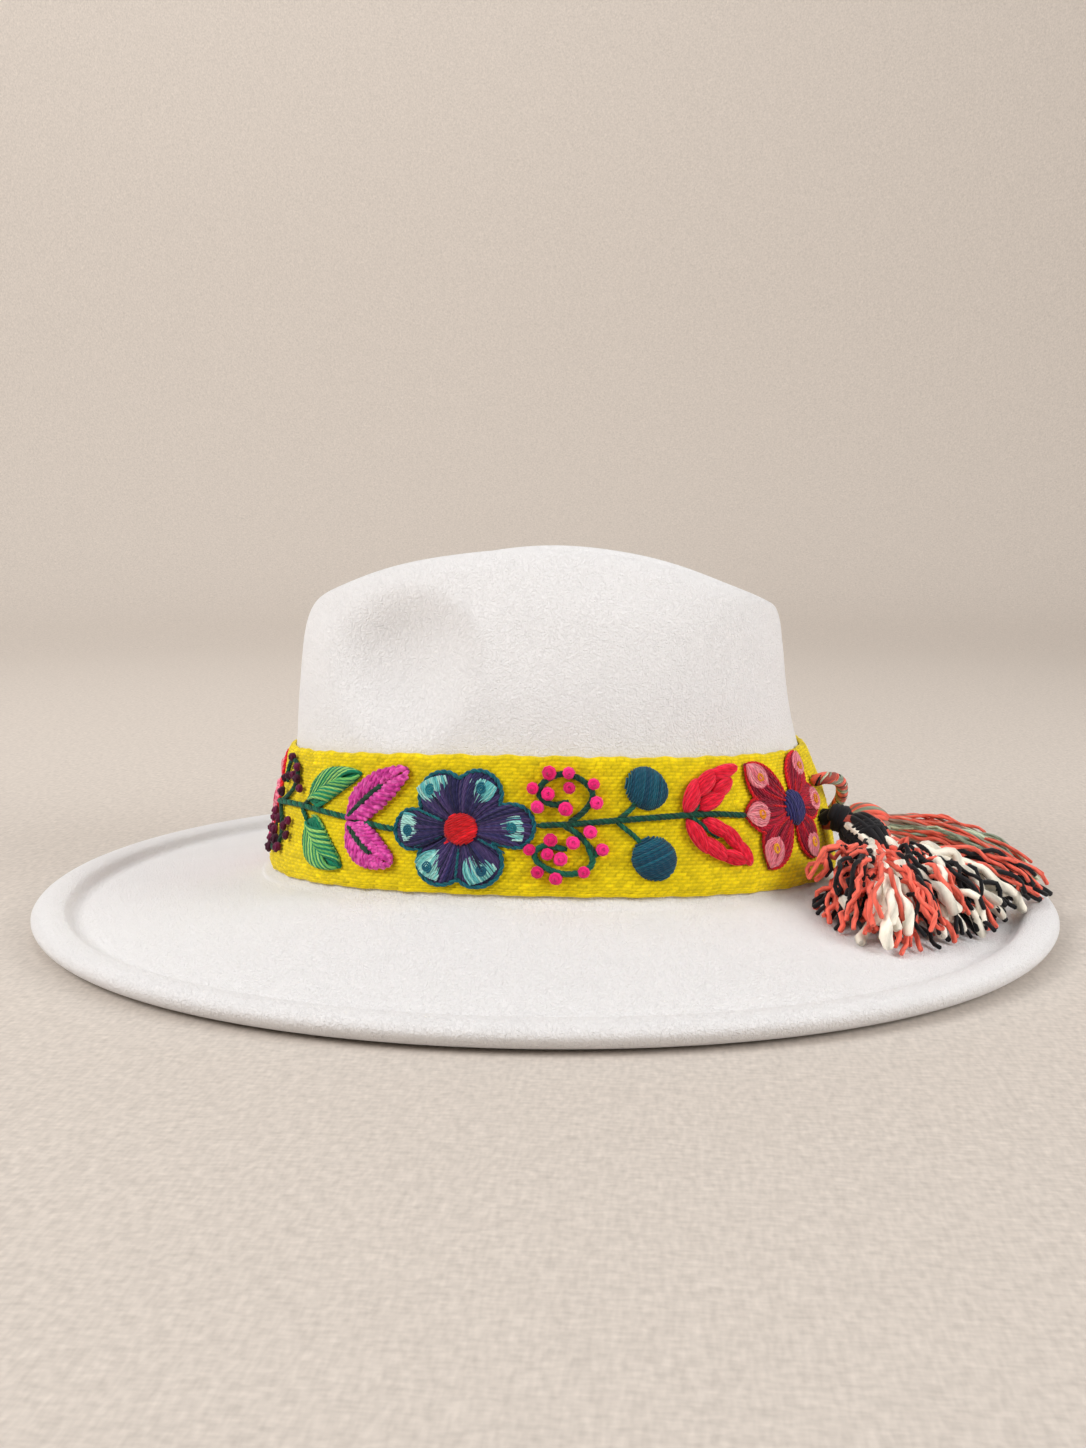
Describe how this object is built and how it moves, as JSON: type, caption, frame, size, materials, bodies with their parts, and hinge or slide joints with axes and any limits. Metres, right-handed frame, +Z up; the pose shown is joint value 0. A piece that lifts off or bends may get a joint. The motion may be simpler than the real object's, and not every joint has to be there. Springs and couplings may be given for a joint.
{
  "type": "fedora hat with woven band and tassels",
  "caption": "White felt fedora with a teardrop crown, pinched sides, a wide flat brim with a turned-over hem, a woven band, and yarn tassels at the rear.",
  "frame": {"origin": "centre of the brim's outline, on the surface that the hat rests on", "axes": "+Z up; -Y the hat's front; +X the wearer's left, which is the side that the picture shows"},
  "size_m": [0.3376, 0.3782, 0.1333],
  "materials": {
    "white_felt": "pressed wool felt with short fibre fuzz, matt white",
    "yellow_weave": "coarse golden yellow wool weave with raised satin stitch flowers and leaves",
    "mixed_braid": "braided coral, grey green and cream yarn",
    "coral_yarn": "loose coral, grey green and pale green yarn",
    "black_cream_yarn": "loose black, cream and coral yarn"
  },
  "bodies": {
    "root": {"felt_body": "white_felt", "band": "yellow_weave", "cord_coral": "mixed_braid", "tassel_coral": "coral_yarn", "tassel_black": "black_cream_yarn"}
  },
  "joints": []
}
